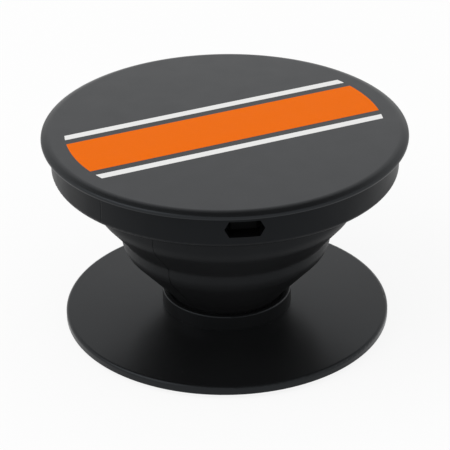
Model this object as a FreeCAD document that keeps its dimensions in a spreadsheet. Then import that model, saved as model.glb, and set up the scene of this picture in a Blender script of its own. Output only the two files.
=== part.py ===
import FreeCAD, Part
import math
import os
from types import SimpleNamespace
import Sketcher

# Phone grip: a stiff disc on a soft bellows that folds down onto a round base.
# Millimetres. Z is up, the front is towards minus Y, and z = 0 is the pad's lower face.

os.makedirs("parts", exist_ok=True)
doc = FreeCAD.newDocument("phone_grip")

# Sizes
SIZES = [
    ("disc_r", 20.0, "top disc, radius"),
    ("disc_t", 0.7, "top disc, thickness at the face"),
    ("face_edge", 0.12, "top disc, rounding of the raised face's edge"),
    ("lip_w", 0.7, "top disc, width of the lip around the raised face"),
    ("lip_t", 0.45, "top disc, thickness of the lip"),
    ("lip_edge", 0.15, "top disc, rounding of the lip's upper edge"),
    ("disc_low_edge", 0.15, "top disc, rounding of the lip's lower edge"),
    ("rise", 21.2, "gap from the base's upper face to the disc's lower face, open"),
    ("disc_lip", 1.0, "top disc, how far it stands out past the skirt ring"),
    ("ring_t", 1.4, "skirt ring, wall"),
    ("ring_drop", 3.75, "skirt ring, how far it hangs below the disc"),
    ("ring_seat", 0.3, "skirt ring, depth of its seat in the disc"),
    ("ring_seat_clear", 0.1, "clearance on each side of the ring in its seat"),
    ("ring_edge", 0.5, "skirt ring, rounding of the lower outer edge"),
    ("ring_inner_edge", 0.2, "skirt ring, rounding of the lower inner edge"),
    ("ledge_clear", 0.1, "radial clearance from the rounding under the flange to the clamping ledge"),
    ("ledge_t", 0.9, "skirt ring, thickness of the clamping ledge"),
    ("latch_count", 3, "latch windows and hooks"),
    ("latch_turn", -84.2, "angle of the first latch from the X axis, degrees"),
    ("window_w", 4.2, "latch window, width between its points"),
    ("window_point", 0.5, "latch window, length of each pointed end"),
    ("window_drop", 0.75, "latch window, upper edge below the disc"),
    ("window_h", 1.8, "latch window, height"),
    ("hook_w", 2.2, "hook, width"),
    ("hook_t", 0.9, "hook, thickness"),
    ("hook_wall_clear", 0.2, "radial clearance from the hook to the ring's wall"),
    ("hook_clear", 0.05, "clearance from the barb to the upper edge of the window"),
    ("barb_inset", 1.2, "hook, how far the barb's nose stays behind the ring's outer face"),
    ("barb_t", 0.5, "hook, height of the barb's nose"),
    ("barb_ramp", 1.25, "hook, height of the ramp below the barb's nose"),
    ("notch_clear", 0.3, "clearance around a hook in the ledge and in the flange"),
    ("flange_w", 1.4, "bellows, width of the clamped flange outside the neck"),
    ("flange_clear", 0.2, "radial clearance from the flange to the ring's wall"),
    ("flange_t", 0.9, "bellows, thickness of the clamped flange"),
    ("soft_wall", 0.8, "bellows, wall"),
    ("neck_h", 3.05, "bellows, height of the neck below the flange"),
    ("upper_web_w", 1.4, "bellows, step in from the neck to the upper wall"),
    ("upper_web_h", 1.55, "bellows, fall of the web below the neck"),
    ("upper_wall_h", 2.3, "bellows, height of the upper wall"),
    ("middle_web_w", 2.95, "bellows, step in from the upper wall to the lower wall"),
    ("middle_web_h", 3.55, "bellows, fall of the web between the two walls"),
    ("lower_wall_h", 1.65, "bellows, height of the lower wall"),
    ("foot_h", 0.5, "bellows, height of the straight foot"),
    ("foot_clear", 0.2, "radial clearance from the bellows' foot to the collar"),
    ("foot_sink", 0.5, "how far the bellows' foot sits below the collar's rim"),
    ("bead_t", 0.65, "bellows, height of the bead at the foot"),
    ("corner_round", 1.35, "bellows, outer rounding at the lower end of the neck and of the upper wall"),
    ("lower_round", 1.9, "bellows, outer rounding at the lower end of the lower wall"),
    ("crease_round", 0.4, "bellows, outer rounding in each crease"),
    ("base_r", 18.15, "base, radius"),
    ("base_t", 1.0, "base, thickness at the edge"),
    ("base_top_edge", 0.35, "base, rounding of the upper edge"),
    ("base_low_edge", 0.15, "base, rounding of the lower edge"),
    ("collar_r", 7.25, "collar, outer radius"),
    ("collar_t", 0.7, "collar, wall"),
    ("collar_h", 2.2, "collar, height above the base"),
    ("collar_edge", 0.15, "collar, rounding of the rim"),
    ("boss_h", 0.7, "floor inside the collar, height above the base"),
    ("hole_r", 2.6, "base, radius of the central hole"),
    ("bore_clear", 0.8, "radial clearance of the barbs in the counterbore below"),
    ("bore_d", 0.6, "base, depth of the counterbore"),
    ("hub_clear", 0.15, "radial clearance of the hub in the collar"),
    ("hub_gap", 0.1, "gap above and below the base's floor"),
    ("groove_d", 1.4, "hub, depth of the groove for the bead"),
    ("bead_clear", 0.05, "clearance of the bead in the hub's groove"),
    ("hub_lip_w", 0.45, "hub, reach of the lip over the bead"),
    ("hub_lip_t", 0.6, "hub, thickness of the lip"),
    ("hub_lead", 0.3, "hub, lead-in on the lip"),
    ("hub_wall", 1.35, "hub, wall around the hollow in its top"),
    ("hub_dish_d", 1.4, "hub, depth of the hollow in its top"),
    ("leg_clear", 0.1, "radial clearance of the legs in the central hole"),
    ("leg_t", 1.2, "hub, thickness of the legs"),
    ("leg_reach", 0.4, "hub, reach of the barbs under the base's floor"),
    ("leg_gap", 0.1, "gap between the legs and the pad"),
    ("leg_nose", 0.2, "hub, height of the lead-in below the barbs"),
    ("leg_slot", 0.8, "hub, width of the slots between the legs"),
    ("base_rim", 0.7, "base, width of the rim around the pad's recess"),
    ("pad_clear", 0.2, "radial clearance of the pad in its recess"),
    ("pad_recess", 0.35, "depth of the recess"),
    ("pad_proud", 0.5, "how far the pad stands below the base"),
]

sheet = doc.addObject("Spreadsheet::Sheet", "Sizes")
for row, (name, value, note) in enumerate(SIZES, start=1):
    sheet.set("A%d" % row, note)
    sheet.set("B%d" % row, str(value))
    sheet.setAlias("B%d" % row, name)
doc.recompute()


class Size:
    """A length from the sheet, together with the expression that gives it."""

    def __init__(self, value, text):
        self.value = float(value)
        self.text = text

    def __add__(self, other):
        return Size(self.value + other.value, "(%s + %s)" % (self.text, other.text))

    def __sub__(self, other):
        return Size(self.value - other.value, "(%s - %s)" % (self.text, other.text))

    def __neg__(self):
        return Size(-self.value, "(-1 * %s)" % self.text)

    def mitred(self, run, fall):
        """How far the corner of a wall this thick is shifted where the wall turns from upright to a slope."""
        value = self.value * math.tan(math.atan2(run.value, fall.value) / 2)
        return Size(value, "(%s * tan(atan2(%s; %s) / 2))" % (self.text, run.text, fall.text))

    def half(self):
        return Size(self.value / 2, "(%s / 2)" % self.text)


S = SimpleNamespace(**{name: Size(sheet.get(name), "Sizes.%s" % name) for name, _, _ in SIZES})
ZERO = Size(0.0, "0")


# Sketches
def new_body(name):
    body = doc.addObject("PartDesign::Body", name)
    body.Label = name
    return body


def origin_part(body, role):
    return [item for item in body.Origin.OriginFeatures if item.Role == role][0]


def new_sketch(body, role, name, offset=None):
    sketch = body.newObject("Sketcher::SketchObject", name)
    sketch.AttachmentSupport = [(origin_part(body, role), "")]
    sketch.MapMode = "FlatFace"
    if offset is not None:
        sketch.AttachmentOffset = FreeCAD.Placement(FreeCAD.Vector(0, 0, offset.value), FreeCAD.Rotation())
        sketch.setExpression("AttachmentOffset.Base.z", offset.text)
    return sketch


def arc_between(start, end, radius, side):
    """The short arc from start to end with its centre to the left (side 1) or right (side -1)."""
    dx, dy = end[0] - start[0], end[1] - start[1]
    chord = math.hypot(dx, dy)
    height = math.sqrt(max(radius ** 2 - chord ** 2 / 4, 0.0))
    cx = (start[0] + end[0]) / 2 - side * dy / chord * height
    cy = (start[1] + end[1]) / 2 + side * dx / chord * height
    first, last = (start, end) if side > 0 else (end, start)
    a = math.atan2(first[1] - cy, first[0] - cx)
    b = math.atan2(last[1] - cy, last[0] - cx)
    if b < a:
        b += 2 * math.pi
    circle = Part.Circle(FreeCAD.Vector(cx, cy, 0), FreeCAD.Vector(0, 0, 1), radius)
    return Part.ArcOfCircle(circle, a, b)


def draw(sketch, corners, arcs=None):
    """Draws a closed outline. Arcs maps a corner's number to the radius and side of the arc after it."""
    arcs = arcs or {}
    count = len(corners)
    at = [(x.value, y.value) for x, y in corners]
    shapes = []
    ends = []
    for i in range(count):
        a, b = at[i], at[(i + 1) % count]
        if i in arcs:
            radius, side = arcs[i]
            shapes.append(arc_between(a, b, radius.value, side))
            ends.append((1, 2) if side > 0 else (2, 1))
        else:
            shapes.append(Part.LineSegment(FreeCAD.Vector(a[0], a[1], 0), FreeCAD.Vector(b[0], b[1], 0)))
            ends.append((1, 2))
    sketch.addGeometry(shapes, False)
    rules = []
    texts = []

    def rule(text, *parts):
        rules.append(Sketcher.Constraint(*parts))
        texts.append(text)

    for i in range(count):
        before = (i - 1) % count
        rule(None, "Coincident", before, ends[before][1], i, ends[i][0])
    for i, (x, y) in enumerate(corners):
        for size, kind, axis in ((x, "DistanceX", -2), (y, "DistanceY", -1)):
            if size is ZERO:
                rule(None, "PointOnObject", i, ends[i][0], axis)
            elif size.value < 0:
                rule((-size).text, kind, i, ends[i][0], -1, 1, -size.value)
            else:
                rule(size.text, kind, -1, 1, i, ends[i][0], size.value)
    for i, (radius, side) in arcs.items():
        rule(radius.text, "Radius", i, radius.value)
    sketch.addConstraint(rules)
    for number, text in enumerate(texts):
        if text is not None:
            sketch.setExpression("Constraints[%d]" % number, text)


def revolve(body, sketch, name):
    feature = body.newObject("PartDesign::Revolution", name)
    feature.Profile = sketch
    feature.ReferenceAxis = (sketch, ["V_Axis"])
    feature.Angle = 360.0
    sketch.Visibility = False
    body.Tip = feature
    doc.recompute()
    return feature


def pattern(body, features, name, count_text, angle):
    feature = body.newObject("PartDesign::PolarPattern", name)
    feature.Originals = features
    feature.Axis = (origin_part(body, "Z_Axis"), [""])
    feature.Angle = angle
    feature.Occurrences = 3
    feature.setExpression("Occurrences", count_text)
    body.Tip = feature
    doc.recompute()
    return feature


def place(body, height, turn=None):
    angle = 0.0 if turn is None else turn.value
    body.Placement = FreeCAD.Placement(
        FreeCAD.Vector(0, 0, height.value), FreeCAD.Rotation(FreeCAD.Vector(0, 0, 1), angle)
    )
    body.setExpression("Placement.Base.z", height.text)
    if turn is not None:
        body.setExpression("Placement.Rotation.Angle", turn.text)
    doc.recompute()


# Heights and radii that several pieces share
base_face = S.pad_proud + S.base_t
disc_face = base_face + S.rise
recess_r = S.base_r - S.base_rim
collar_inner = S.collar_r - S.collar_t
leg_r = S.hole_r - S.leg_clear
leg_barb_r = leg_r + S.leg_reach
hub_r = collar_inner - S.hub_clear
hub_neck_r = hub_r - S.groove_d
ring_r = S.disc_r - S.disc_lip
ring_inner = ring_r - S.ring_t
hook_outer = ring_inner - S.hook_wall_clear
hook_inner = hook_outer - S.hook_t
flange_r = ring_inner - S.flange_clear
neck_r = flange_r - S.flange_w
window_top = S.ring_drop - S.window_drop
notch_half = S.hook_w.half() + S.notch_clear

# Adhesive pad
adhesive_pad = new_body("adhesive_pad")
pad_sketch = new_sketch(adhesive_pad, "XZ_Plane", "pad_profile")
pad_height = S.pad_proud + S.pad_recess
pad_r = recess_r - S.pad_clear
draw(pad_sketch, [(ZERO, ZERO), (pad_r, ZERO), (pad_r, pad_height), (ZERO, pad_height)])
revolve(adhesive_pad, pad_sketch, "pad_disc")
place(adhesive_pad, ZERO)

# Base with its collar, central hole and recess
base = new_body("base")
base_sketch = new_sketch(base, "XZ_Plane", "base_profile")
rim = S.base_t + S.collar_h
floor = S.base_t + S.boss_h
bore_top = S.pad_recess + S.bore_d
bore_r = leg_barb_r + S.bore_clear
draw(
    base_sketch,
    [
        (S.hole_r, bore_top),
        (bore_r, bore_top),
        (bore_r, S.pad_recess),
        (recess_r, S.pad_recess),
        (recess_r, ZERO),
        (S.base_r - S.base_low_edge, ZERO),
        (S.base_r, S.base_low_edge),
        (S.base_r, S.base_t - S.base_top_edge),
        (S.base_r - S.base_top_edge, S.base_t),
        (S.collar_r, S.base_t),
        (S.collar_r, rim - S.collar_edge),
        (S.collar_r - S.collar_edge, rim),
        (collar_inner + S.collar_edge, rim),
        (collar_inner, rim - S.collar_edge),
        (collar_inner, floor),
        (S.hole_r, floor),
    ],
    {
        5: (S.base_low_edge, 1),
        7: (S.base_top_edge, 1),
        10: (S.collar_edge, 1),
        12: (S.collar_edge, 1),
    },
)
revolve(base, base_sketch, "base_turned")
place(base, S.pad_proud)

# Hub that turns in the collar, held by barbed legs under the base's floor
swivel_hub = new_body("swivel_hub")
hub_sketch = new_sketch(swivel_hub, "XZ_Plane", "hub_profile")
hub_top = S.collar_h - S.foot_sink - S.boss_h - S.hub_gap
lip_low = hub_top + S.bead_t
lip_top = lip_low + S.hub_lip_t
lip_r = hub_neck_r + S.hub_lip_w
dish_r = hub_neck_r - S.hub_wall
leg_bore_r = leg_r - S.leg_t
barb_top = S.pad_recess + S.bore_d - S.base_t - S.boss_h - S.hub_gap - S.hub_gap
leg_end = S.pad_recess + S.leg_gap - S.base_t - S.boss_h - S.hub_gap
draw(
    hub_sketch,
    [
        (leg_bore_r, leg_end),
        (leg_r, leg_end),
        (leg_barb_r, leg_end + S.leg_nose),
        (leg_barb_r, barb_top),
        (leg_r, barb_top),
        (leg_r, ZERO),
        (hub_r, ZERO),
        (hub_r, hub_top),
        (hub_neck_r, hub_top),
        (hub_neck_r, lip_low),
        (lip_r, lip_low),
        (lip_r, lip_top - S.hub_lead),
        (lip_r - S.hub_lead, lip_top),
        (dish_r, lip_top),
        (dish_r, lip_top - S.hub_dish_d),
        (leg_bore_r, lip_top - S.hub_dish_d),
    ],
)
revolve(swivel_hub, hub_sketch, "hub_turned")
slot_sketch = new_sketch(swivel_hub, "XY_Plane", "leg_slot")
slot_half = S.leg_slot.half()
draw(
    slot_sketch,
    [
        (-leg_barb_r, -slot_half),
        (leg_barb_r, -slot_half),
        (leg_barb_r, slot_half),
        (-leg_barb_r, slot_half),
    ],
)
leg_slot = swivel_hub.newObject("PartDesign::Pocket", "leg_slot_cut")
leg_slot.Profile = slot_sketch
leg_slot.Length = -leg_end.value
leg_slot.setExpression("Length", (-leg_end).text)
slot_sketch.Visibility = False
swivel_hub.Tip = leg_slot
doc.recompute()
pattern(swivel_hub, [leg_slot], "leg_slots", "2", 180.0)
place(swivel_hub, base_face + S.boss_h + S.hub_gap)

# Bellows: flange, neck, two upright walls joined by sloping webs, and the bead that clips over the hub
bellows = new_body("bellows")
bellows_sketch = new_sketch(bellows, "XZ_Plane", "bellows_profile")
bellows_top = S.rise - S.collar_h + S.foot_sink
flange_low = bellows_top - S.flange_t
bead_r = hub_neck_r + S.bead_clear
foot_r = collar_inner - S.foot_clear
foot_inner = foot_r - S.soft_wall
upper_r = neck_r - S.upper_web_w
lower_r = upper_r - S.middle_web_w
neck_low = flange_low - S.neck_h
upper_top = neck_low - S.upper_web_h
upper_low = upper_top - S.upper_wall_h
lower_top = upper_low - S.middle_web_h
lower_low = lower_top - S.lower_wall_h
creases = [(foot_r, S.foot_h), (lower_r, lower_top), (upper_r, upper_top)]
corners = [(lower_r, lower_low), (upper_r, upper_low), (neck_r, neck_low)]
inner_creases = []
inner_corners = []
for (low_r, low_z), (high_r, high_z) in zip(creases, corners):
    shift = S.soft_wall.mitred(high_r - low_r, high_z - low_z)
    inner_creases.append((low_r - S.soft_wall, low_z + shift))
    inner_corners.append((high_r - S.soft_wall, high_z + shift))
outer_line = [point for web in zip(creases, corners) for point in web]
inner_line = [point for web in zip(inner_creases, inner_corners) for point in web]
draw(
    bellows_sketch,
    [
        (bead_r, ZERO),
        (foot_r, ZERO),
        *outer_line,
        (neck_r, flange_low),
        (flange_r, flange_low),
        (flange_r, bellows_top),
        (neck_r - S.soft_wall, bellows_top),
        *reversed(inner_line),
        (foot_inner, S.bead_t),
        (bead_r, S.bead_t),
    ],
)
revolve(bellows, bellows_sketch, "bellows_turned")


def ring_edges(shape, radius, height):
    """Names of the round edges about the Z axis that have this radius and height."""
    names = []
    for number, edge in enumerate(shape.Edges, start=1):
        box = edge.BoundBox
        level = box.ZLength < 1e-4 and abs(box.ZMin - height) < 1e-3
        if level and abs(box.XMax - radius) < 1e-2:
            names.append("Edge%d" % number)
    return names


def round_rings(body, name, points, radius):
    """Rounds the ring edges of a turned body that run through these points of its profile."""
    before = body.Tip
    edges = []
    for ring_radius, height in points:
        edges += ring_edges(before.Shape, ring_radius.value, height.value)
    feature = body.newObject("PartDesign::Fillet", name)
    feature.Base = (before, edges)
    feature.Radius = radius.value
    feature.setExpression("Radius", radius.text)
    body.Tip = feature
    doc.recompute()


round_rings(bellows, "lower_rounding", corners[:1], S.lower_round)
round_rings(bellows, "inner_lower_rounding", inner_corners[:1], S.lower_round - S.soft_wall)
round_rings(bellows, "corner_rounding", corners[1:], S.corner_round)
round_rings(bellows, "inner_corner_rounding", inner_corners[1:], S.corner_round - S.soft_wall)
round_rings(bellows, "crease_rounding", creases + [(neck_r, flange_low)], S.crease_round)
round_rings(bellows, "inner_crease_rounding", inner_creases[1:], S.crease_round + S.soft_wall)
key_sketch = new_sketch(bellows, "XY_Plane", "flange_notch_outline", bellows_top)
key_inner = hook_inner - S.flange_clear
key_outer = flange_r + S.notch_clear
draw(
    key_sketch,
    [
        (key_inner, -notch_half),
        (key_outer, -notch_half),
        (key_outer, notch_half),
        (key_inner, notch_half),
    ],
)
key = bellows.newObject("PartDesign::Pocket", "flange_notch_cut")
key.Profile = key_sketch
key.Length = S.flange_t.value
key.setExpression("Length", S.flange_t.text)
key_sketch.Visibility = False
bellows.Tip = key
doc.recompute()
pattern(bellows, [key], "flange_notches", S.latch_count.text, 360.0)
place(bellows, base_face + S.collar_h - S.foot_sink, S.latch_turn)

# Skirt ring with its clamping ledge and latch windows
skirt_ring = new_body("skirt_ring")
ring_sketch = new_sketch(skirt_ring, "XZ_Plane", "ring_profile")
ring_top = S.ring_drop + S.ring_seat
ledge_top = S.ring_drop - S.flange_t
ledge_low = ledge_top - S.ledge_t
ledge_r = neck_r + S.crease_round + S.ledge_clear
draw(
    ring_sketch,
    [
        (ring_inner + S.ring_inner_edge, ZERO),
        (ring_r - S.ring_edge, ZERO),
        (ring_r, S.ring_edge),
        (ring_r, ring_top),
        (ring_inner, ring_top),
        (ring_inner, ledge_top),
        (ledge_r, ledge_top),
        (ledge_r, ledge_low),
        (ring_inner, ledge_low),
        (ring_inner, S.ring_inner_edge),
    ],
    {1: (S.ring_edge, 1), 9: (S.ring_inner_edge, 1)},
)
revolve(skirt_ring, ring_sketch, "ring_turned")
window_sketch = new_sketch(skirt_ring, "YZ_Plane", "window_outline", ring_inner - S.ring_t)
window_half = S.window_w.half()
window_flat = window_half - S.window_point
window_low = window_top - S.window_h
window_mid = window_top - S.window_h.half()
draw(
    window_sketch,
    [
        (-window_flat, window_low),
        (window_flat, window_low),
        (window_half, window_mid),
        (window_flat, window_top),
        (-window_flat, window_top),
        (-window_half, window_mid),
    ],
)
window = skirt_ring.newObject("PartDesign::Pocket", "window_cut")
window.Profile = window_sketch
window.Length = 3 * S.ring_t.value
window.setExpression("Length", "3 * %s" % S.ring_t.text)
window.Reversed = True
window_sketch.Visibility = False
skirt_ring.Tip = window
doc.recompute()
notch_sketch = new_sketch(skirt_ring, "XY_Plane", "notch_outline", ledge_top)
notch_inner = ledge_r - S.notch_clear
draw(
    notch_sketch,
    [
        (notch_inner, -notch_half),
        (ring_inner + S.notch_clear, -notch_half),
        (ring_inner + S.notch_clear, notch_half),
        (notch_inner, notch_half),
    ],
)
notch = skirt_ring.newObject("PartDesign::Pocket", "notch_cut")
notch.Profile = notch_sketch
notch.Length = S.ledge_t.value
notch.setExpression("Length", S.ledge_t.text)
notch_sketch.Visibility = False
skirt_ring.Tip = notch
doc.recompute()
pattern(skirt_ring, [window, notch], "latch_windows", S.latch_count.text, 360.0)
place(skirt_ring, disc_face - S.ring_drop, S.latch_turn)

# Top disc: a raised face inside a thin lip, the ring's seat below and the latch hooks
top_disc = new_body("top_disc")
disc_sketch = new_sketch(top_disc, "XZ_Plane", "disc_profile")
seat_inner = ring_inner - S.ring_seat_clear
seat_outer = ring_r + S.ring_seat_clear
face_r = S.disc_r - S.lip_w
draw(
    disc_sketch,
    [
        (ZERO, ZERO),
        (seat_inner, ZERO),
        (seat_inner, S.ring_seat),
        (seat_outer, S.ring_seat),
        (seat_outer, ZERO),
        (S.disc_r - S.disc_low_edge, ZERO),
        (S.disc_r, S.disc_low_edge),
        (S.disc_r, S.lip_t - S.lip_edge),
        (S.disc_r - S.lip_edge, S.lip_t),
        (face_r, S.lip_t),
        (face_r, S.disc_t - S.face_edge),
        (face_r - S.face_edge, S.disc_t),
        (ZERO, S.disc_t),
    ],
    {5: (S.disc_low_edge, 1), 7: (S.lip_edge, 1), 10: (S.face_edge, 1)},
)
revolve(top_disc, disc_sketch, "disc_turned")
hook_sketch = new_sketch(top_disc, "XZ_Plane", "hook_profile")
barb_outer = ring_r - S.barb_inset
barb_high = window_top - S.ring_drop - S.hook_clear
barb_nose = barb_high - S.barb_t
hook_end = barb_nose - S.barb_ramp
draw(
    hook_sketch,
    [
        (hook_inner, hook_end),
        (hook_inner + S.hook_t.half(), hook_end),
        (barb_outer, barb_nose),
        (barb_outer, barb_high),
        (hook_outer, barb_high),
        (hook_outer, S.ring_seat),
        (hook_inner, S.ring_seat),
    ],
)
hook = top_disc.newObject("PartDesign::Pad", "hook_pad")
hook.Profile = hook_sketch
hook.SideType = "Symmetric"
hook.Length = S.hook_w.value
hook.setExpression("Length", S.hook_w.text)
hook_sketch.Visibility = False
top_disc.Tip = hook
doc.recompute()
pattern(top_disc, [hook], "latch_hooks", S.latch_count.text, 360.0)
place(top_disc, disc_face, S.latch_turn)

# Check and write
doc.recompute()
for item in doc.Objects:
    if "Invalid" in item.State or "Error" in item.State:
        raise RuntimeError("%s does not compute: %s" % (item.Name, item.State))
for body in (adhesive_pad, base, swivel_hub, bellows, skirt_ring, top_disc):
    shape = body.Shape
    if shape.isNull() or not shape.isValid() or len(shape.Solids) != 1:
        raise RuntimeError("%s is not one valid solid" % body.Label)
    shape.exportStep("parts/%s.step" % body.Label)
    box = shape.BoundBox
    print(
        "%-13s volume %9.2f  x %7.2f %6.2f  z %6.2f %6.2f"
        % (body.Label, shape.Volume, box.XMin, box.XMax, box.ZMin, box.ZMax)
    )
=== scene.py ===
"""Phone grip: a satin black disc on a soft stepped bellows, standing on a round base.

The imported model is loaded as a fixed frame, in metres. Every piece made here takes its place from it.
"""

import math

import bmesh
import bpy
from bpy.props import FloatProperty, FloatVectorProperty, IntProperty, PointerProperty
from mathutils import Matrix, Vector


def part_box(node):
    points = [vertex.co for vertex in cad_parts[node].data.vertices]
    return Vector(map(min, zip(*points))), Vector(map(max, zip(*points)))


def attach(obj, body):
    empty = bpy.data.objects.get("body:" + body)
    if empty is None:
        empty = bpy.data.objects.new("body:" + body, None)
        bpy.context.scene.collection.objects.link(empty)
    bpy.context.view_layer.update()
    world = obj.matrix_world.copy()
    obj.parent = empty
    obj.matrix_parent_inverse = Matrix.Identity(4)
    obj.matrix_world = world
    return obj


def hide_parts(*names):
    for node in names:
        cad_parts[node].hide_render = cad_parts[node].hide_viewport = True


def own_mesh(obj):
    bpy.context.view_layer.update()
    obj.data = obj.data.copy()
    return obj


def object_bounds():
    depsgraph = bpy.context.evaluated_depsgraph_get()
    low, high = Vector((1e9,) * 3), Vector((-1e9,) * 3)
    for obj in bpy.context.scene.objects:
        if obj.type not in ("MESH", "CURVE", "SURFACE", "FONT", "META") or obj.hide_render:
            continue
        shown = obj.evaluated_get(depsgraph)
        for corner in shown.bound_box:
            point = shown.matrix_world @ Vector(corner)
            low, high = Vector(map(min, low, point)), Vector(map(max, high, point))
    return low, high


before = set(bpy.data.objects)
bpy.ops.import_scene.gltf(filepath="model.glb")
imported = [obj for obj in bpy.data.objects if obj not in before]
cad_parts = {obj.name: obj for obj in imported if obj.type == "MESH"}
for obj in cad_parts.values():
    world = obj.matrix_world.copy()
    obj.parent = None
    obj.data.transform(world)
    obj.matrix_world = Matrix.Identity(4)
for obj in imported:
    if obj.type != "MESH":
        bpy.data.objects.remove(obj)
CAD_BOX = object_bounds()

bl_info = {
    "name": "Phone Grip",
    "version": (1, 0, 0),
    "blender": (4, 5, 0),
    "location": "3D View > Sidebar > Phone Grip",
    "description": "Dresses a collapsible phone grip: finishes, stripes, bellows and a white stage",
    "category": "Object",
}

MM = 0.001
AXIS = Vector((0.0, 0.0, 1.0))
CENTRE = Vector((0.0, 0.0, 0.0))
# Points that are closer than this count as one
TOUCH = 0.002 * MM
# Edges that turn by more than this show as creases
SHARP = math.radians(35.0)

# Places and radii from the frame
DISC_LOW, DISC_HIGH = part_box("top_disc")
RING_LOW, RING_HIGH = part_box("skirt_ring")
BELLOWS_LOW, BELLOWS_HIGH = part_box("bellows")
BASE_LOW, BASE_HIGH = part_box("base")
DISC_TOP = DISC_HIGH[2]
DISC_BOTTOM = BELLOWS_HIGH[2]
DISC_RADIUS = (DISC_HIGH[0] - DISC_LOW[0]) / 2
RING_RADIUS = (RING_HIGH[0] - RING_LOW[0]) / 2
BASE_RADIUS = (BASE_HIGH[0] - BASE_LOW[0]) / 2
FLANGE_RADIUS = max(abs(side) for side in (*BELLOWS_LOW[:2], *BELLOWS_HIGH[:2]))

# Divisions across each rounding, and around the circle that ends the stripes
EDGE_STEPS = 10
CROWN_STEPS = 8
LIP_STEPS = 3
CORNER_STEPS = 8
INNER_CORNER_STEPS = 4
CREASE_STEPS = 5
STRIPE_END_STEPS = 256

# Fine texture of the finishes: sizes, tones as shares of the colour, and how far the roughness varies
COOL_TINT = (0.84, 0.92, 1.0, 1.0)
NOISE_LOW, NOISE_HIGH = 0.3, 0.7
PLAIN_DETAIL, GRAIN_DETAIL, CLOUD_DETAIL = 2.0, 3.0, 4.0
CLOUD_SIZE = 7.0 * MM
CLOUD_DARK, CLOUD_PALE = 0.8, 1.2
SMEAR_SIZE = 2.6 * MM
GRAIN_SIZE = 0.11 * MM
GRAIN_DEPTH = 0.0022 * MM
GLOSS_RANGE = 0.035
FACE_CLOUD_SIZE = 9.0 * MM
FACE_CLOUD_DARK, FACE_CLOUD_PALE = 0.95, 1.05
DISC_GLOSS_RANGE = 0.02
BASE_GRAIN_DEPTH = 0.0003 * MM
BASE_GLOSS_RANGE = 0.015
INK_DOT_SIZE = 0.16 * MM
INK_DOT_DARK = 0.94
INK_DOT_DEPTH = 0.0015 * MM
INK_SMEAR_SIZE = 1.8 * MM
INK_GLOSS_RANGE = 0.04
PORE_DARK = 0.6
PORE_DEPTH = 0.06 * MM
PAD_SMEAR_SIZE = 3.0 * MM
PAD_GLOSS_RANGE = 0.09
# Black of the parting line: painted shade in its groove
SEAM_SHADE_BLACK = (0.0005, 0.0005, 0.0005)
SEAM_DEPTH = 0.05 * MM
# Where a parting line starts to fade and where it has gone, as shares of its width
SEAM_CORE, SEAM_FADE = 0.25, 0.6

# Sockets of the Mix node that take and give colours
MIX_FIRST, MIX_SECOND, MIX_RESULT = 6, 7, 2

# Camera and white surroundings
IMAGE_WIDTH = 450
SENSOR_WIDTH = 36.0
NEAREST_VIEW = 0.01
WHITE = (1.0, 1.0, 1.0, 1.0)


# Settings that a user would change
def colour(name, text, value):
    return FloatVectorProperty(
        name=name, description=text, subtype="COLOR", size=3, min=0.0, max=1.0, default=value
    )


def share(name, text, value):
    return FloatProperty(name=name, description=text, subtype="FACTOR", min=0.0, max=1.0, default=value)


def length(name, text, value):
    return FloatProperty(
        name=name, description=text, subtype="DISTANCE", unit="LENGTH", precision=5, default=value
    )


def angle(name, text, degrees):
    return FloatProperty(name=name, description=text, subtype="ANGLE", default=math.radians(degrees))


class DiscSettings(bpy.types.PropertyGroup):
    """The stiff top disc"""

    face_colour: colour("Face colour", "Dark grey of the satin face", (0.027, 0.0273, 0.0286))
    # Edge colour: painted shade, black on the crown and the side where the edge turns from the light
    edge_shade_colour: colour("Edge colour", "Black of the edge and the underside", (0.005, 0.005, 0.0053))
    # Hook colour: painted shade, darker than the disc so the hooks read dark in the ring's windows
    hook_shade_colour: colour("Hook colour", "Black of the latch hooks", (0.003, 0.003, 0.003))
    roughness: share("Roughness", "Gloss of the disc", 0.36)
    sheen: share("Sheen", "Strength of the disc's reflections", 0.3)
    hook_roughness: share("Hook roughness", "Gloss of the latch hooks", 0.6)
    hook_sheen: share("Hook sheen", "Strength of the hooks' reflections", 0.03)
    crown_width: length("Crown width", "Width of the sloping rim around the flat face", 0.75 * MM)
    crown_slope: angle("Crown slope", "Fall of the rim towards the edge", 25.0)
    crown_soft: length("Crown softness", "Reach of the soft bend into the rim", 0.3 * MM)
    edge_round: length("Edge rounding", "Rounding of the outer edge", 0.3 * MM)
    draft: angle("Draft", "How much the side leans in below the edge", 19.0)
    seat_depth: length("Seat depth", "Depth of the seat for the skirt ring", 0.3 * MM)
    seat_width: length("Seat width", "Width of the seat for the skirt ring", 1.6 * MM)
    seat_clear: length("Seat clearance", "From the skirt ring to the seat's outer wall", 0.1 * MM)
    hook_width: length("Hook width", "Width of each latch hook", 2.7 * MM)
    hook_thick: length("Hook thickness", "Thickness of each latch hook", 0.9 * MM)
    hook_inset: length("Hook inset", "From the ring's outer face to the hook's back", 1.6 * MM)
    barb_inset: length("Barb inset", "From the ring's outer face to the barb's nose", 1.2 * MM)
    barb_drop: length("Barb drop", "From the disc down to the barb", 0.8 * MM)
    barb_height: length("Barb height", "Height of the barb's nose", 1.4 * MM)
    steps: IntProperty(name="Steps", description="Divisions around the disc", default=240)


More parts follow.
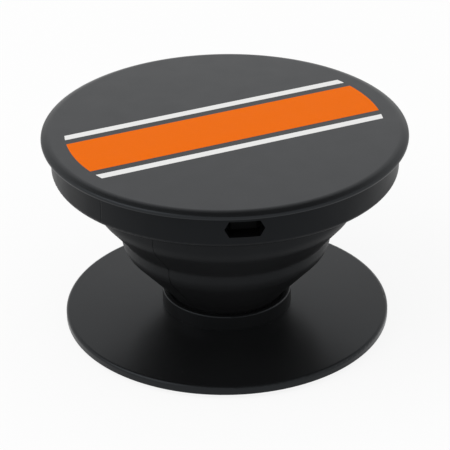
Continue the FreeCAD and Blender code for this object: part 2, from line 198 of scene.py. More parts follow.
class PrintSettings(bpy.types.PropertyGroup):
    """The stripes printed on the disc"""

    stripe_colour: colour("Stripe colour", "Orange of the broad stripe", (0.93, 0.165, 0.002))
    line_colour: colour("Line colour", "White of the narrow lines", (0.9, 0.9, 0.89))
    roughness: share("Roughness", "Gloss of the ink", 0.42)
    sheen: share("Sheen", "Strength of the ink's reflections", 0.02)
    stripe_width: length("Stripe width", "Width of the broad stripe", 7.0 * MM)
    line_width: length("Line width", "Width of each narrow line", 1.0 * MM)
    line_gap: length("Line gap", "Bare gap between the stripe and each line", 1.0 * MM)
    reach: length("Reach", "Radius at which the stripes end", 17.4 * MM)
    film: length("Film", "Thickness of the ink", 0.02 * MM)
    turn: angle("Turn", "Angle of the stripes on the disc", 24.0)


class RingSettings(bpy.types.PropertyGroup):
    """The stiff skirt ring under the disc"""

    colour: colour("Colour", "Black of the skirt ring", (0.003, 0.003, 0.0033))
    roughness: share("Roughness", "Gloss of the skirt ring", 0.42)
    sheen: share("Sheen", "Strength of the skirt ring's reflections", 0.15)
    lip_clear: length("Lip clearance", "From the inner lip to the bellows' neck", 0.15 * MM)
    lip_inset: length("Lip inset", "From the ring's outer face to the root of the inner lip", 1.3 * MM)
    lip_rise: length("Lip rise", "From the ring's lower edge up to the inner lip", 0.25 * MM)
    lip_height: length("Lip height", "Thickness of the inner lip", 0.5 * MM)
    lip_round: length("Lip rounding", "Rounding of the inner lip's edges", 0.15 * MM)
    seam_turn: angle("Seam turn", "Where the mould's parting line runs", -133.0)
    seam_width: length("Seam width", "Width of the parting line", 0.14 * MM)


class BellowsSettings(bpy.types.PropertyGroup):
    """The soft stepped bellows"""

    colour: colour("Colour", "Black of the soft moulding", (0.0113, 0.0116, 0.0122))
    roughness: share("Roughness", "Gloss of the soft moulding", 0.44)
    sheen: share("Sheen", "Strength of the soft moulding's reflections", 0.09)
    wall: length("Wall", "Thickness of the soft wall", 0.8 * MM)
    flange_width: length("Flange width", "Flange outside the neck", 1.4 * MM)
    flange_height: length("Flange height", "Thickness of the flange", 0.9 * MM)
    neck_height: length("Neck height", "Neck below the flange", 3.05 * MM)
    upper_step: length("Upper step", "Step in from the neck to the upper wall", 1.4 * MM)
    upper_web: length("Upper web", "Fall of the web below the neck", 1.55 * MM)
    upper_wall: length("Upper wall", "Height of the upper wall", 2.3 * MM)
    middle_step: length("Middle step", "Step in from the upper wall to the lower wall", 2.95 * MM)
    middle_web: length("Middle web", "Fall of the web between the walls", 3.55 * MM)
    lower_wall: length("Lower wall", "Height of the lower wall", 1.65 * MM)
    foot_radius: length("Foot radius", "Radius of the foot in the collar", 6.35 * MM)
    foot_height: length("Foot height", "Height of the straight foot", 0.5 * MM)
    bead_radius: length("Bead radius", "Inner radius of the bead at the foot", 5.05 * MM)
    bead_height: length("Bead height", "Height of the bead at the foot", 0.65 * MM)
    corner_round: length("Corner rounding", "Rounding below the neck and the upper wall", 2.2 * MM)
    lower_round: length("Lower rounding", "Rounding below the lower wall", 2.4 * MM)
    crease_round: length("Crease rounding", "Rounding in each crease", 0.9 * MM)
    flange_round: length("Flange rounding", "Rounding in the corner under the flange", 0.25 * MM)
    notch_radius: length("Notch radius", "How far in the flange is cut for the hooks", 16.3 * MM)
    notch_turn: angle("Notch turn", "Where the first hook passes the flange", -84.2)
    notch_half: angle("Notch half width", "Half of the angle that each notch takes up", 4.9)
    notch_count: IntProperty(name="Notch count", description="Hooks that pass the flange", default=3)
    steps: IntProperty(name="Steps", description="Divisions around the bellows", default=240)
    seam_turn: angle("Seam turn", "Where the mould's parting line runs", -122.0)
    seam_width: length("Seam width", "Width of the parting line", 0.12 * MM)


class BaseSettings(bpy.types.PropertyGroup):
    """The base, the hub in its collar and the adhesive pad"""

    colour: colour("Colour", "Black of the base", (0.007, 0.0072, 0.0076))
    roughness: share("Roughness", "Gloss of the base", 0.29)
    sheen: share("Sheen", "Strength of the base's reflections", 0.22)
    thick: length("Thickness", "From the base's underside to its upper face, at the edge", 1.0 * MM)
    edge_round: length("Edge rounding", "Rounding around the base's upper face", 0.35 * MM)
    fall: angle("Fall", "Slope of the upper face from the collar down to the edge", 2.5)
    collar_radius: length("Collar radius", "Where the sloping face meets the collar", 7.2 * MM)
    sink: length("Sink", "How far the sloping face reaches into the base", 0.05 * MM)
    hub_colour: colour("Hub colour", "Black of the hub", (0.01, 0.01, 0.0105))
    pad_colour: colour("Pad colour", "Dark grey of the adhesive pad", (0.045, 0.045, 0.047))
    pad_roughness: share("Pad roughness", "Gloss of the adhesive pad", 0.75)
    pad_pores: length("Pad pores", "Width of the foam's pores", 0.45 * MM)
    dust_colour: colour("Dust colour", "Pale grey of the specks of dust", (0.03, 0.032, 0.032))
    dust_size: length("Dust size", "Width of a speck", 0.12 * MM)
    dust_spacing: length("Dust spacing", "From speck to speck", 8.0 * MM)
    steps: IntProperty(name="Steps", description="Divisions around the upper face", default=240)


class StageSettings(bpy.types.PropertyGroup):
    """Camera, white surroundings and light"""

    focal_pixels: FloatProperty(
        name="Focal length", description="In pixels of the picture", default=2248.0
    )
    distance: length("Camera distance", "From the point that the camera aims at", 250.0 * MM)
    elevation: FloatProperty(
        name="Camera elevation", description="Above the horizon", subtype="ANGLE", default=0.49993
    )
    aim_side: length("Aim to the side", "Where the camera aims, along X", -0.102 * MM)
    aim_height: length("Aim height", "Where the camera aims, above the floor", 11.278 * MM)
    roll: FloatProperty(
        name="Camera roll", description="Tilt of the picture", subtype="ANGLE", default=-0.01297
    )
    floor_colour: colour("Floor colour", "White of the floor", (0.95, 0.95, 0.95))
    floor_size: length("Floor size", "Side of the square floor", 6.0)
    floor_white: share("Floor white", "Share of the floor's white that no shadow darkens", 0.88)
    sky_light: FloatProperty(name="Sky light", description="Light from all round", default=0.74)
    ceiling_colour: colour("Ceiling colour", "Dark grey of the ceiling", (0.12, 0.12, 0.12))
    ceiling_size: length("Ceiling size", "Side of the square ceiling", 2.0)
    ceiling_height: length("Ceiling height", "Ceiling above the floor", 1.2)
    lamp_size: length("Lamp size", "Side of the square soft lamp", 0.6)
    lamp_height: length("Lamp height", "Soft lamp above the floor", 0.55)
    lamp_front: length("Lamp front", "How far the soft lamp stands before the grip", 0.2)
    lamp_side: length("Lamp side", "How far the soft lamp stands to the left", 0.48)
    lamp_power: FloatProperty(name="Lamp power", description="Watts of the soft lamp", default=1.9)


class GripSettings(bpy.types.PropertyGroup):
    """All settings of the phone grip"""

    disc: PointerProperty(type=DiscSettings)
    stripes: PointerProperty(type=PrintSettings)
    ring: PointerProperty(type=RingSettings)
    bellows: PointerProperty(type=BellowsSettings)
    base: PointerProperty(type=BaseSettings)
    stage: PointerProperty(type=StageSettings)


# Materials
class Finish:
    """A procedural material that reads the piece's own coordinates, in metres."""

    def __init__(self, name, roughness, specular):
        self.material = bpy.data.materials.new(name)
        self.material.use_nodes = True
        self.tree = self.material.node_tree
        self.shader = self.tree.nodes["Principled BSDF"]
        self.shader.inputs["Specular IOR Level"].default_value = specular
        self.shader.inputs["Specular Tint"].default_value = COOL_TINT
        self.shader.inputs["Roughness"].default_value = roughness
        self.place = self.tree.nodes.new("ShaderNodeTexCoord").outputs["Object"]

    def add(self, kind, inputs, output=0, **settings):
        """Adds a node. Each input is a value or another node's output."""
        node = self.tree.nodes.new(kind)
        for key, value in settings.items():
            setattr(node, key, value)
        for key, value in inputs.items():
            if isinstance(value, bpy.types.NodeSocket):
                self.tree.links.new(value, node.inputs[key])
            else:
                node.inputs[key].default_value = value
        return node.outputs[output]

    def math(self, operation, first, second=0.0):
        return self.add("ShaderNodeMath", {0: first, 1: second}, operation=operation)

    def noise(self, size, detail=PLAIN_DETAIL):
        """Cloudy values from 0 to 1 with features of about this size."""
        inputs = {"Vector": self.place, "Scale": 1.0 / size, "Detail": detail}
        return self.add("ShaderNodeTexNoise", inputs)

    def cells(self, spacing, **settings):
        """Distance to the nearest of many scattered points, as a share of their spacing."""
        inputs = {"Vector": self.place, "Scale": 1.0 / spacing}
        return self.add("ShaderNodeTexVoronoi", inputs, feature="F1", **settings)

    def ramp(self, value, start, end, low, high):
        """Goes from low to high as the value goes from start to end, and stays level outside."""
        return self.add(
            "ShaderNodeMapRange",
            {"Value": value, "From Min": start, "From Max": end, "To Min": low, "To Max": high},
        )

    def blend(self, factor, first, second):
        """A colour between two colours."""
        return self.add(
            "ShaderNodeMix",
            {"Factor": factor, MIX_FIRST: opaque(first), MIX_SECOND: opaque(second)},
            MIX_RESULT,
            data_type="RGBA",
        )

    def mould_line(self, turn, width):
        """1 along a parting line in the upright plane at this angle about the axis, and 0 elsewhere."""
        across = self.add(
            "ShaderNodeVectorMath",
            {0: self.place, 1: (-math.sin(turn), math.cos(turn), 0.0)},
            "Value",
            operation="DOT_PRODUCT",
        )
        away = self.math("ABSOLUTE", across)
        return self.ramp(away, SEAM_CORE * width, SEAM_FADE * width, 1.0, 0.0)

    def paint(self, colour_socket):
        self.tree.links.new(colour_socket, self.shader.inputs["Base Color"])

    def painted(self):
        """The colour that is painted so far."""
        return self.shader.inputs["Base Color"].links[0].from_socket

    def vary_gloss(self, size, roughness, gloss_range, detail=PLAIN_DETAIL):
        """Lets the roughness wander about its value, in smears of this size."""
        smears = self.noise(size, detail)
        low, high = roughness - gloss_range, roughness + gloss_range
        wander = self.ramp(smears, NOISE_LOW, NOISE_HIGH, low, high)
        self.tree.links.new(wander, self.shader.inputs["Roughness"])

    def bump(self, height, depth):
        """Raises the surface by the height socket times a depth, over the bumps added before."""
        inputs = {"Height": height, "Distance": depth}
        before = self.shader.inputs["Normal"].links
        if before:
            inputs["Normal"] = before[0].from_socket
        self.tree.links.new(self.add("ShaderNodeBump", inputs), self.shader.inputs["Normal"])


def opaque(value):
    """A colour with its alpha. A socket stays as it is."""
    return value if isinstance(value, bpy.types.NodeSocket) else (*value, 1.0)


def tone(base, factor):
    return tuple(value * factor for value in base)


def moulded(name, base, roughness, specular, depth=GRAIN_DEPTH, gloss_range=GLOSS_RANGE):
    """Moulded plastic or rubber: fine satin grain, faint cloudy tone and uneven gloss."""
    finish = Finish(name, roughness, specular)
    clouds = finish.noise(CLOUD_SIZE, CLOUD_DETAIL)
    finish.paint(finish.blend(clouds, tone(base, CLOUD_DARK), tone(base, CLOUD_PALE)))
    finish.vary_gloss(SMEAR_SIZE, roughness, gloss_range, GRAIN_DETAIL)
    finish.bump(finish.noise(GRAIN_SIZE, GRAIN_DETAIL), depth)
    return finish


def add_mould_line(finish, settings):
    """Marks a fine parting line on a moulding: a shallow groove, with painted shade in it."""
    line = finish.mould_line(settings.seam_turn, settings.seam_width)
    finish.paint(finish.blend(line, finish.painted(), SEAM_SHADE_BLACK))
    finish.bump(finish.math("MULTIPLY", line, -1.0), SEAM_DEPTH)


def dress(node, finish):
    """Gives a node of the frame its finish."""
    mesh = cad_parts[node].data
    mesh.materials.clear()
    mesh.materials.append(finish.material)


# Mesh helpers
def piece_from(shape, name, finish):
    """Turns a bmesh into an object at the origin, smooth apart from its sharp edges."""
    bmesh.ops.recalc_face_normals(shape, faces=shape.faces)
    mesh = bpy.data.meshes.new(name)
    for face in shape.faces:
        face.smooth = True
    for edge in shape.edges:
        edge.smooth = edge.calc_face_angle(0.0) < SHARP
    shape.to_mesh(mesh)
    shape.free()
    mesh.materials.append(finish.material)
    piece = bpy.data.objects.new(name, mesh)
    bpy.context.scene.collection.objects.link(piece)
    return piece


def turned(profile, steps):
    """Spins a closed profile of radius and height about the axis."""
    shape = bmesh.new()
    points = [shape.verts.new((radius, 0.0, height)) for radius, height in profile]
    for first, second in zip(points, points[1:] + points[:1]):
        shape.edges.new((first, second))
    bmesh.ops.spin(
        shape,
        geom=shape.verts[:] + shape.edges[:],
        cent=CENTRE,
        axis=AXIS,
        angle=math.tau,
        steps=steps,
        use_merge=True,
    )
    bmesh.ops.remove_doubles(shape, verts=shape.verts, dist=TOUCH)
    bmesh.ops.recalc_face_normals(shape, faces=shape.faces)
    return shape


def round_ring(shape, radius, height, offset, segments):
    """Rounds the edges that run round the axis at this radius and height."""
    near = {
        vert
        for vert in shape.verts
        if abs(vert.co.xy.length - radius) < TOUCH and abs(vert.co.z - height) < TOUCH
    }
    edges = [edge for edge in shape.edges if edge.verts[0] in near and edge.verts[1] in near]
    bmesh.ops.bevel(
        shape, geom=edges, offset=offset, affect="EDGES", segments=segments, profile=0.5, material=-1
    )


def draw_out(shape, faces, move, **options):
    """Extrudes faces by a move, and gives the new vertices."""
    made = bmesh.ops.extrude_face_region(shape, geom=faces, **options)
    drawn = [item for item in made["geom"] if isinstance(item, bmesh.types.BMVert)]
    bmesh.ops.translate(shape, verts=drawn, vec=move)
    return drawn


def turn_about_axis(shape, verts, turn):
    bmesh.ops.rotate(shape, verts=verts, cent=CENTRE, matrix=Matrix.Rotation(turn, 3, "Z"))


# Pieces
class PHONEGRIP_OT_disc(bpy.types.Operator):
    """Model the top disc: a flat face with a crowned edge, the ring's seat below and the latch hooks"""

    bl_idname = "phone_grip.disc"
    bl_label = "Model the Disc"

    def execute(self, context):
        disc = context.scene.phone_grip.disc
        bellows = context.scene.phone_grip.bellows
        plate = piece_from(self.plate(disc), "disc_plate", self.satin(disc))
        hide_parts("top_disc")
        # The hooks get a darker, matt finish: painted shade in the ring's windows
        black = moulded("hook_painted_shade", disc.hook_shade_colour, disc.hook_roughness, disc.hook_sheen)
        hooks = piece_from(self.hooks(disc, bellows), "disc_hooks", black)
        for piece in (plate, hooks):
            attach(piece, "top")
        return {"FINISHED"}

    def plate(self, disc):
        """The disc turned about its axis, with a soft bend into the crown and a rounded edge."""
        half_turn = (math.pi / 2 - disc.crown_slope + disc.draft) / 2
        lean = (math.pi / 2 - disc.crown_slope - disc.draft) / 2
        corner = DISC_RADIUS + disc.edge_round * (math.cos(lean) / math.cos(half_turn) - 1.0)
        flat = DISC_RADIUS - disc.crown_width
        edge = DISC_TOP - (corner - flat) * math.tan(disc.crown_slope)
        low = corner - (edge - DISC_BOTTOM) * math.tan(disc.draft)
        seat_outer = RING_RADIUS + disc.seat_clear
        seat_inner = seat_outer - disc.seat_width
        seat_top = DISC_BOTTOM + disc.seat_depth
        shape = turned(
            [
                (0.0, DISC_BOTTOM),
                (seat_inner, DISC_BOTTOM),
                (seat_inner, seat_top),
                (seat_outer, seat_top),
                (seat_outer, DISC_BOTTOM),
                (low, DISC_BOTTOM),
                (corner, edge),
                (flat, DISC_TOP),
                (0.0, DISC_TOP),
            ],
            disc.steps,
        )
        round_ring(shape, corner, edge, disc.edge_round * math.tan(half_turn), EDGE_STEPS)
        round_ring(shape, flat, DISC_TOP, disc.crown_soft, CROWN_STEPS)
        return shape

    def hooks(self, disc, bellows):
        """The latch hooks: each one is a barbed outline drawn out to the hook's width."""
        outer = RING_RADIUS - disc.hook_inset
        inner = outer - disc.hook_thick
        nose = RING_RADIUS - disc.barb_inset
        barb_top = DISC_BOTTOM - disc.barb_drop
        outline = [
            (inner, DISC_LOW[2]),
            (outer, DISC_LOW[2]),
            (nose, barb_top - disc.barb_height),
            (nose, barb_top),
            (outer, barb_top),
            (outer, DISC_BOTTOM),
            (inner, DISC_BOTTOM),
        ]
        shape = bmesh.new()
        for number in range(bellows.notch_count):
            turn = bellows.notch_turn + math.tau * number / bellows.notch_count
            points = [shape.verts.new((x, -disc.hook_width / 2, z)) for x, z in outline]
            side = shape.faces.new(points)
            drawn = draw_out(shape, [side], (0.0, disc.hook_width, 0.0), use_keep_orig=True)
            turn_about_axis(shape, points + drawn, turn)
        return shape

    def satin(self, disc):
        """Satin black plastic, with a dark grey face that fades into black over the crown: the black on
        the crown and the side is painted shade.
        """
        finish = moulded(
            "disc_plastic", disc.edge_shade_colour, disc.roughness, disc.sheen, gloss_range=DISC_GLOSS_RANGE
        )
        clouds = finish.noise(FACE_CLOUD_SIZE, CLOUD_DETAIL)
        dark = tone(disc.face_colour, FACE_CLOUD_DARK)
        pale = tone(disc.face_colour, FACE_CLOUD_PALE)
        grey = finish.blend(clouds, dark, pale)
        # Grey on the face, and black as painted shade on the crown and the side
        finish.paint(finish.blend(self.edge_shade_mask(finish, disc), finish.painted(), grey))
        return finish

    def edge_shade_mask(self, finish, disc):
        """1 on the flat face, fading to 0 over the crown, and 0 on the side and the underside. The 0
        paints shade on the crown and the side.
        """
        level = finish.add(
            "ShaderNodeVectorMath", {0: finish.place, 1: (1.0, 1.0, 0.0)}, operation="MULTIPLY"
        )
        radius = finish.add("ShaderNodeVectorMath", {0: level}, "Value", operation="LENGTH")
        height = finish.add("ShaderNodeSeparateXYZ", {0: finish.place}, "Z")
        flat = DISC_RADIUS - disc.crown_width
        inside = finish.ramp(radius, flat - disc.crown_soft, flat + disc.crown_soft, 1.0, 0.0)
        above = finish.math("GREATER_THAN", height, (DISC_TOP + DISC_BOTTOM) / 2)
        return finish.math("MULTIPLY", inside, above)


class PHONEGRIP_OT_stripes(bpy.types.Operator):
    """Print a broad stripe between two lines across the disc"""

    bl_idname = "phone_grip.stripes"
    bl_label = "Print the Stripes"

    def execute(self, context):
        stripes = context.scene.phone_grip.stripes
        half = stripes.stripe_width / 2
        orange = self.ink("stripe_ink", stripes.stripe_colour, stripes)
        white = self.ink("line_ink", stripes.line_colour, stripes)
        near = half + stripes.line_gap
        far = near + stripes.line_width
        self.band("print_stripe", stripes, -half, half, orange)
        self.band("print_line_front", stripes, -far, -near, white)
        self.band("print_line_back", stripes, near, far, white)
        return {"FINISHED"}

    def ink(self, name, base, stripes):
        """Printed ink: even colour with a trace of the printing dots."""
        finish = Finish(name, stripes.roughness, stripes.sheen)
        dots = finish.noise(INK_DOT_SIZE)
        finish.paint(finish.blend(dots, tone(base, INK_DOT_DARK), base))
        finish.vary_gloss(INK_SMEAR_SIZE, stripes.roughness, INK_GLOSS_RANGE)
        finish.bump(dots, INK_DOT_DEPTH)
        return finish

    def band(self, name, stripes, low, high, finish):
        """A film of ink between two parallel lines, cut off by a circle."""
        shape = bmesh.new()
        bmesh.ops.create_circle(
            shape, cap_ends=True, segments=STRIPE_END_STEPS, radius=stripes.reach
        )
        for height, side in ((low, -1.0), (high, 1.0)):
            bmesh.ops.bisect_plane(
                shape,
                geom=shape.verts[:] + shape.edges[:] + shape.faces[:],
                plane_co=(0.0, height, 0.0),
                plane_no=(0.0, side, 0.0),
                clear_outer=True,
            )
        bottom = DISC_TOP - stripes.film / 2
        bmesh.ops.translate(shape, verts=shape.verts, vec=(0.0, 0.0, bottom))
        draw_out(shape, shape.faces[:], (0.0, 0.0, stripes.film))
        turn_about_axis(shape, shape.verts, stripes.turn)
        piece = piece_from(shape, name, finish)
        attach(piece, "top")


class PHONEGRIP_OT_ring(bpy.types.Operator):
    """Finish the skirt ring, with its mould's parting line, and close its lower gap with an inner lip"""

    bl_idname = "phone_grip.ring"
    bl_label = "Finish the Skirt Ring"

    def execute(self, context):
        ring = context.scene.phone_grip.ring
        finish = moulded("ring_plastic", ring.colour, ring.roughness, ring.sheen)
        add_mould_line(finish, ring)
        dress("skirt_ring", finish)
        lip = piece_from(self.lip(ring, context.scene.phone_grip.bellows), "ring_lip", finish)
        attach(lip, "top")
        return {"FINISHED"}

    def lip(self, ring, bellows):
        """The lip inside the ring's lower edge, which reaches to the neck of the bellows."""
        inner = FLANGE_RADIUS - bellows.flange_width + ring.lip_clear
        outer = RING_RADIUS - ring.lip_inset
        low = RING_LOW[2] + ring.lip_rise
        high = low + ring.lip_height
        shape = turned([(inner, low), (outer, low), (outer, high), (inner, high)], bellows.steps)
        for height in (low, high):
            round_ring(shape, inner, height, ring.lip_round, LIP_STEPS)
        return shape


class PHONEGRIP_OT_bellows(bpy.types.Operator):
    """Model the soft bellows: flange, neck, two walls, sloping webs and the bead at its foot"""

    bl_idname = "phone_grip.bellows"
    bl_label = "Model the Bellows"

    def execute(self, context):
        bellows = context.scene.phone_grip.bellows
        webs = self.webs(bellows)
        shape = turned(self.profile(bellows, webs), bellows.steps)
        self.round_webs(shape, bellows, webs)
        self.notch_flange(shape, bellows)
        finish = moulded("bellows_rubber", bellows.colour, bellows.roughness, bellows.sheen)
        add_mould_line(finish, bellows)
        piece = piece_from(shape, "bellows_moulding", finish)
        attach(piece, "stem")
        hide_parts("bellows")
        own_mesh(piece)
        return {"FINISHED"}

    def webs(self, bellows):
        """The lower and upper end of each sloping web, on the outer face, from the foot up."""
        neck = FLANGE_RADIUS - bellows.flange_width
        upper = neck - bellows.upper_step
        lower = upper - bellows.middle_step
        neck_low = BELLOWS_HIGH[2] - bellows.flange_height - bellows.neck_height
        upper_top = neck_low - bellows.upper_web
        upper_low = upper_top - bellows.upper_wall
        lower_top = upper_low - bellows.middle_web
        lower_low = lower_top - bellows.lower_wall
        foot_top = BELLOWS_LOW[2] + bellows.foot_height
        return [
            ((bellows.foot_radius, foot_top), (lower, lower_low)),
            ((lower, lower_top), (upper, upper_low)),
            ((upper, upper_top), (neck, neck_low)),
        ]

    def half_turn(self, web):
        """Tangent of half the angle by which a web leans away from upright."""
        (low_radius, low), (high_radius, high) = web
        return math.tan(math.atan2(high_radius - low_radius, high - low) / 2)

    def inside(self, bellows, web):
        """The same web on the inner face of the wall."""
        lift = bellows.wall * self.half_turn(web)
        return [(radius - bellows.wall, height + lift) for radius, height in web]

    def profile(self, bellows, webs):
        """The closed outline of the wall, up the outer face and down the inner face."""
        outer = [point for web in webs for point in web]
        inner = [point for web in webs for point in self.inside(bellows, web)]
        neck = outer[-1][0]
        foot, top = BELLOWS_LOW[2], BELLOWS_HIGH[2]
        bead_top = foot + bellows.bead_height
        return [
            (bellows.bead_radius, foot),
            (bellows.foot_radius, foot),
            *outer,
            (neck, top - bellows.flange_height),
            (FLANGE_RADIUS, top - bellows.flange_height),
            (FLANGE_RADIUS, top),
            (neck - bellows.wall, top),
            *reversed(inner),
            (bellows.foot_radius - bellows.wall, bead_top),
            (bellows.bead_radius, bead_top),
        ]

    def round_webs(self, shape, bellows, webs):
        """Rounds both ends of every web, outside and inside, and the corner under the flange."""
        for web in webs:
            lowest = web is webs[0]
            half_turn = self.half_turn(web)
            corner_round = bellows.lower_round if lowest else bellows.corner_round
            crease, corner = web
            inner_crease, inner_corner = self.inside(bellows, web)
            inner_round = corner_round - bellows.wall
            inner_crease_round = bellows.crease_round + bellows.wall
            round_ring(shape, *corner, corner_round * half_turn, CORNER_STEPS)
            round_ring(shape, *inner_corner, inner_round * half_turn, INNER_CORNER_STEPS)
            round_ring(shape, *crease, bellows.crease_round * half_turn, CREASE_STEPS)
            if not lowest:
                round_ring(shape, *inner_crease, inner_crease_round * half_turn, CREASE_STEPS)
        neck = webs[-1][1][0]
        flange_low = BELLOWS_HIGH[2] - bellows.flange_height
        round_ring(shape, neck, flange_low, bellows.flange_round, CREASE_STEPS)

    def notch_flange(self, shape, bellows):
        """Draws the flange in where the latch hooks pass it."""
        for number in range(bellows.notch_count):
            middle = bellows.notch_turn + math.tau * number / bellows.notch_count
            towards = Vector((math.cos(middle), math.sin(middle)))
            for vert in shape.verts:
                radius = vert.co.xy.length
                if radius > bellows.notch_radius and vert.co.xy.angle(towards) < bellows.notch_half:
                    vert.co.xy *= bellows.notch_radius / radius


class PHONEGRIP_OT_base(bpy.types.Operator):
    """Lay the sloping face on the base, and finish the base, the hub in its collar and the pad"""

    bl_idname = "phone_grip.base"
    bl_label = "Finish the Base"

    def execute(self, context):
        base = context.scene.phone_grip.base
        dress("base", self.plastic("base_plastic", base))
        dusty = self.plastic("base_face", base)
        self.add_dust(dusty, base)
        face = piece_from(self.face(base), "base_face", dusty)
        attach(face, "base")
        dress("swivel_hub", moulded("hub_plastic", base.hub_colour, base.roughness, base.sheen))
        dress("adhesive_pad", self.foam(base))
        return {"FINISHED"}

    def face(self, base):
        """The upper face, which falls from the collar to the edge."""
        outer = BASE_RADIUS - base.edge_round
        top = BASE_LOW[2] + base.thick
        rise = (outer - base.collar_radius) * math.tan(base.fall)
        profile = [
            (base.collar_radius, top - base.sink),
            (outer, top - base.sink),
            (outer, top),
            (base.collar_radius, top + rise),
        ]
        return turned(profile, base.steps)

    def plastic(self, name, base):
        """The base's plastic, with less grain and a more even gloss than the other mouldings."""
        return moulded(
            name, base.colour, base.roughness, base.sheen, BASE_GRAIN_DEPTH, BASE_GLOSS_RANGE
        )

    def add_dust(self, finish, base):
        """A few pale specks of dust, scattered over the upper face."""
        away = finish.cells(base.dust_spacing, voronoi_dimensions="2D")
        speck = finish.math("LESS_THAN", away, base.dust_size / base.dust_spacing / 2)
        finish.paint(finish.blend(speck, finish.painted(), base.dust_colour))

    def foam(self, base):
        """Tacky foam: open pores and a matt, uneven grey."""
        finish = Finish("pad_foam", base.pad_roughness, base.sheen)
        pores = finish.cells(base.pad_pores)
        finish.paint(finish.blend(pores, tone(base.pad_colour, PORE_DARK), base.pad_colour))
        finish.vary_gloss(PAD_SMEAR_SIZE, base.pad_roughness, PAD_GLOSS_RANGE)
        finish.bump(pores, PORE_DEPTH)
        return finish


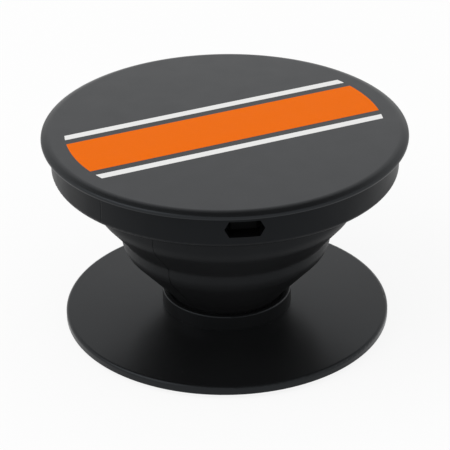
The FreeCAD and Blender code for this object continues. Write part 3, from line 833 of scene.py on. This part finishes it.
class PHONEGRIP_OT_stage(bpy.types.Operator):
    """Set the camera, the white floor, the dark ceiling and the light"""

    bl_idname = "phone_grip.stage"
    bl_label = "Set the Stage"

    def execute(self, context):
        stage = context.scene.phone_grip.stage
        self.make_floor(context, stage)
        self.make_ceiling(context, stage)
        self.make_sky(context, stage)
        self.make_lamp(context, stage)
        self.make_camera(context, stage)
        context.scene.view_settings.view_transform = "Standard"
        return {"FINISHED"}

    def seen_rays(self, tree):
        """1 for rays from the camera, a mirror or glass, and 0 for rays that carry light."""
        path = tree.nodes.new("ShaderNodeLightPath")
        total = path.outputs["Is Camera Ray"]
        for name in ("Is Glossy Ray", "Is Transmission Ray"):
            node = tree.nodes.new("ShaderNodeMath")
            node.operation = "MAXIMUM"
            tree.links.new(total, node.inputs[0])
            tree.links.new(path.outputs[name], node.inputs[1])
            total = node.outputs[0]
        return total

    def mixed(self, tree, factor, plain, seen, output):
        """Mixes a plain shader with the one that is seen."""
        mix = tree.nodes.new("ShaderNodeMixShader")
        tree.links.new(factor, mix.inputs[0])
        tree.links.new(plain.outputs[0], mix.inputs[1])
        tree.links.new(seen.outputs[0], mix.inputs[2])
        tree.links.new(mix.outputs[0], output.inputs["Surface"])

    def matt(self, name, value):
        """A matt material of one colour, for the surroundings."""
        material = bpy.data.materials.new(name)
        material.use_nodes = True
        shader = material.node_tree.nodes["Principled BSDF"]
        shader.inputs["Base Color"].default_value = opaque(value)
        shader.inputs["Roughness"].default_value = 1.0
        shader.inputs["Specular IOR Level"].default_value = 0.0
        return material

    def sheet(self, context, name, size, height, material):
        """A level square that isn't part of the grip."""
        mesh = bpy.data.meshes.new(name)
        shape = bmesh.new()
        bmesh.ops.create_grid(shape, x_segments=1, y_segments=1, size=size / 2)
        bmesh.ops.translate(shape, verts=shape.verts, vec=(0.0, 0.0, height))
        shape.to_mesh(mesh)
        shape.free()
        mesh.materials.append(material)
        square = bpy.data.objects.new(name, mesh)
        context.scene.collection.objects.link(square)
        return square

    def make_ceiling(self, context, stage):
        """A dark ceiling that shows in reflections and takes no light away."""
        material = self.matt("dark_ceiling", stage.ceiling_colour)
        ceiling = self.sheet(context, "ceiling", stage.ceiling_size, stage.ceiling_height, material)
        ceiling.visible_diffuse = False
        ceiling.visible_shadow = False

    def make_floor(self, context, stage):
        """A floor that looks mostly plain white, with a part that the light and the shadow reach."""
        material = self.matt("white_floor", stage.floor_colour)
        tree = material.node_tree
        white = tree.nodes.new("ShaderNodeEmission")
        part = tree.nodes.new("ShaderNodeMath")
        part.operation = "MULTIPLY"
        part.inputs[1].default_value = stage.floor_white
        tree.links.new(self.seen_rays(tree), part.inputs[0])
        plain = tree.nodes["Principled BSDF"]
        self.mixed(tree, part.outputs[0], plain, white, tree.nodes["Material Output"])
        self.sheet(context, "floor", stage.floor_size, CAD_BOX[0][2] - TOUCH, material)

    def make_sky(self, context, stage):
        """White surroundings that light the grip a little less than they show."""
        world = bpy.data.worlds.new("white_surroundings")
        context.scene.world = world
        world.use_nodes = True
        tree = world.node_tree
        light = tree.nodes["Background"]
        light.inputs["Color"].default_value = WHITE
        light.inputs["Strength"].default_value = stage.sky_light
        white = tree.nodes.new("ShaderNodeBackground")
        white.inputs["Color"].default_value = WHITE
        self.mixed(tree, self.seen_rays(tree), light, white, tree.nodes["World Output"])

    def make_lamp(self, context, stage):
        """A large soft lamp at the front left, aimed at the grip."""
        data = bpy.data.lights.new("soft_lamp", "AREA")
        data.shape = "SQUARE"
        data.size = stage.lamp_size
        data.energy = stage.lamp_power
        lamp = bpy.data.objects.new("soft_lamp", data)
        context.scene.collection.objects.link(lamp)
        lamp.location = (-stage.lamp_side, -stage.lamp_front, stage.lamp_height)
        lamp.rotation_mode = "QUATERNION"
        lamp.rotation_quaternion = (-lamp.location).to_track_quat("-Z", "Y")

    def make_camera(self, context, stage):
        """The camera at the picture's viewing angle."""
        data = bpy.data.cameras.new("camera")
        camera = bpy.data.objects.new("camera", data)
        context.scene.collection.objects.link(camera)
        data.sensor_width = SENSOR_WIDTH
        data.lens = stage.focal_pixels * SENSOR_WIDTH / IMAGE_WIDTH
        data.clip_start = NEAREST_VIEW
        back = Vector((0.0, -math.cos(stage.elevation), math.sin(stage.elevation)))
        aim = Vector((stage.aim_side, 0.0, stage.aim_height))
        camera.location = aim + stage.distance * back
        camera.rotation_mode = "QUATERNION"
        level = (-back).to_track_quat("-Z", "Y")
        camera.rotation_quaternion = level @ Matrix.Rotation(stage.roll, 4, "Z").to_quaternion()
        context.scene.camera = camera


class PHONEGRIP_PT_panel(bpy.types.Panel):
    """Sidebar panel of the phone grip"""

    bl_label = "Phone Grip"
    bl_idname = "PHONEGRIP_PT_panel"
    bl_space_type = "VIEW_3D"
    bl_region_type = "UI"
    bl_category = "Phone Grip"

    def draw(self, context):
        settings = context.scene.phone_grip
        for group_name in settings.__annotations__:
            group = getattr(settings, group_name)
            box = self.layout.box()
            for name in group.__annotations__:
                box.prop(group, name)
        for operator in OPERATORS:
            self.layout.operator(operator.bl_idname)


OPERATORS = (
    PHONEGRIP_OT_disc,
    PHONEGRIP_OT_stripes,
    PHONEGRIP_OT_ring,
    PHONEGRIP_OT_bellows,
    PHONEGRIP_OT_base,
    PHONEGRIP_OT_stage,
)
GROUPS = (DiscSettings, PrintSettings, RingSettings, BellowsSettings, BaseSettings, StageSettings)
CLASSES = (*GROUPS, GripSettings, *OPERATORS, PHONEGRIP_PT_panel)


def register():
    for item in CLASSES:
        bpy.utils.register_class(item)
    bpy.types.Scene.phone_grip = PointerProperty(type=GripSettings)


def unregister():
    del bpy.types.Scene.phone_grip
    for item in reversed(CLASSES):
        bpy.utils.unregister_class(item)


def main():
    register()
    bpy.ops.phone_grip.disc()
    bpy.ops.phone_grip.stripes()
    bpy.ops.phone_grip.ring()
    bpy.ops.phone_grip.bellows()
    bpy.ops.phone_grip.base()
    bpy.ops.phone_grip.stage()


if __name__ == "__main__":
    main()
